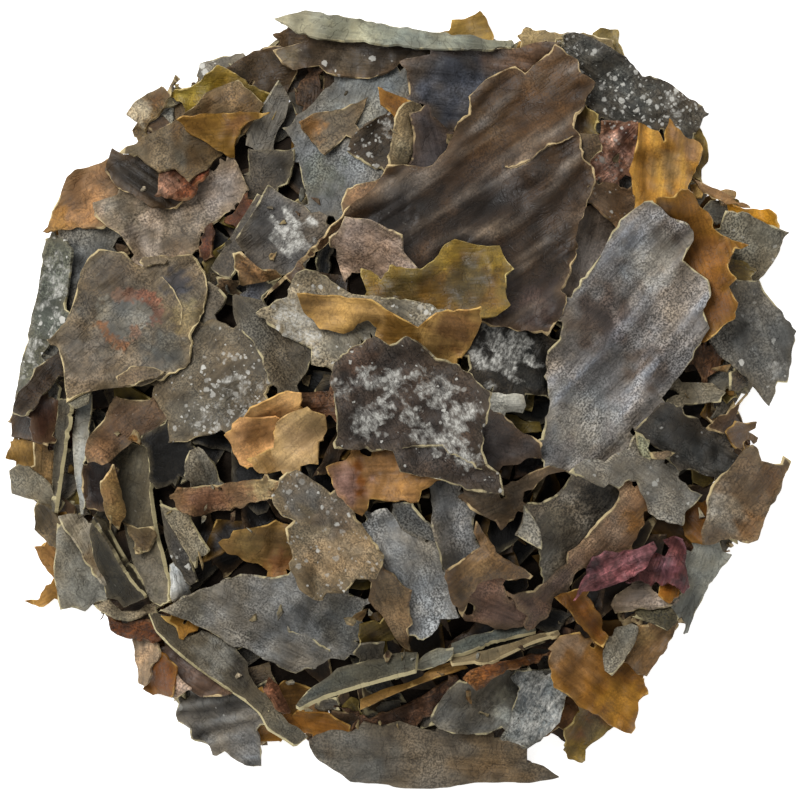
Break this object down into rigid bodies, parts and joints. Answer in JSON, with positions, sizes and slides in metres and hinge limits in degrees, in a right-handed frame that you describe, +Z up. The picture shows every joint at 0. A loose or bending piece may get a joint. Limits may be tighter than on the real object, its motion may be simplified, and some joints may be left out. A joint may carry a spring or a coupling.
{
  "type": "heap of dried kelp flakes",
  "caption": "Low round heap of loose dried kelp flakes: leathery torn blades in slate, brown, olive and amber lying over each other, a dry sea vegetable for cooking.",
  "frame": {"origin": "middle of the heap's footprint, on the surface that it lies on", "axes": "+Z up, +X to the right and +Y away from the viewer when the heap is seen from above as in the picture"},
  "size_m": [0.0988, 0.0976, 0.0258],
  "materials": {
    "dried_kelp": "matt dried leathery blade, slate to brown and amber, with pale torn edges and a dusting of salt bloom"
  },
  "bodies": {
    "root": {"kelp_flake_heap": "dried_kelp"}
  },
  "joints": []
}
